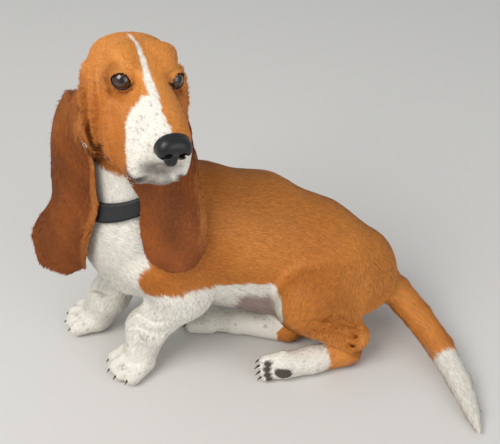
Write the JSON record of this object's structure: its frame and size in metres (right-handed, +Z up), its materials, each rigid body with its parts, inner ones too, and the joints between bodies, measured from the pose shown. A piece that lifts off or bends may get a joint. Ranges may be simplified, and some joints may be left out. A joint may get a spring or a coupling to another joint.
{
  "type": "basset hound",
  "caption": "Still, life-size young basset hound sitting on the floor with both hind legs to its left, head turned and long ears hanging.",
  "frame": {"origin": "middle of the dog's box, on the floor that it sits on", "axes": "+Z up; the dog's chest faces -Y and its tail +Y; its left side and its turned head face +X"},
  "size_m": [0.405, 0.5268, 0.4804],
  "materials": {
    "tan_coat": "short glossy hair",
    "ear_coat": "short velvety hair",
    "white_coat": "short hair",
    "nose_leather": "moist, finely pebbled",
    "eye": "wet gloss",
    "collar_strap": "woven webbing"
  },
  "bodies": {
    "root": {"head": "tan_coat", "neck": "tan_coat", "left_shoulder": "tan_coat", "right_shoulder": "tan_coat", "tail_root": "tan_coat", "left_thigh": "tan_coat", "right_thigh": "tan_coat", "hips": "tan_coat", "loin": "tan_coat", "chest": "tan_coat", "left_ear": "ear_coat", "right_ear": "ear_coat", "left_forepaw": "white_coat", "right_forepaw": "white_coat", "left_forearm": "white_coat", "right_forearm": "white_coat", "left_hind_foot": "white_coat", "right_hind_foot": "white_coat", "tail_tip": "white_coat", "nose": "nose_leather", "left_eye": "eye", "right_eye": "eye", "collar": "collar_strap"}
  },
  "joints": []
}
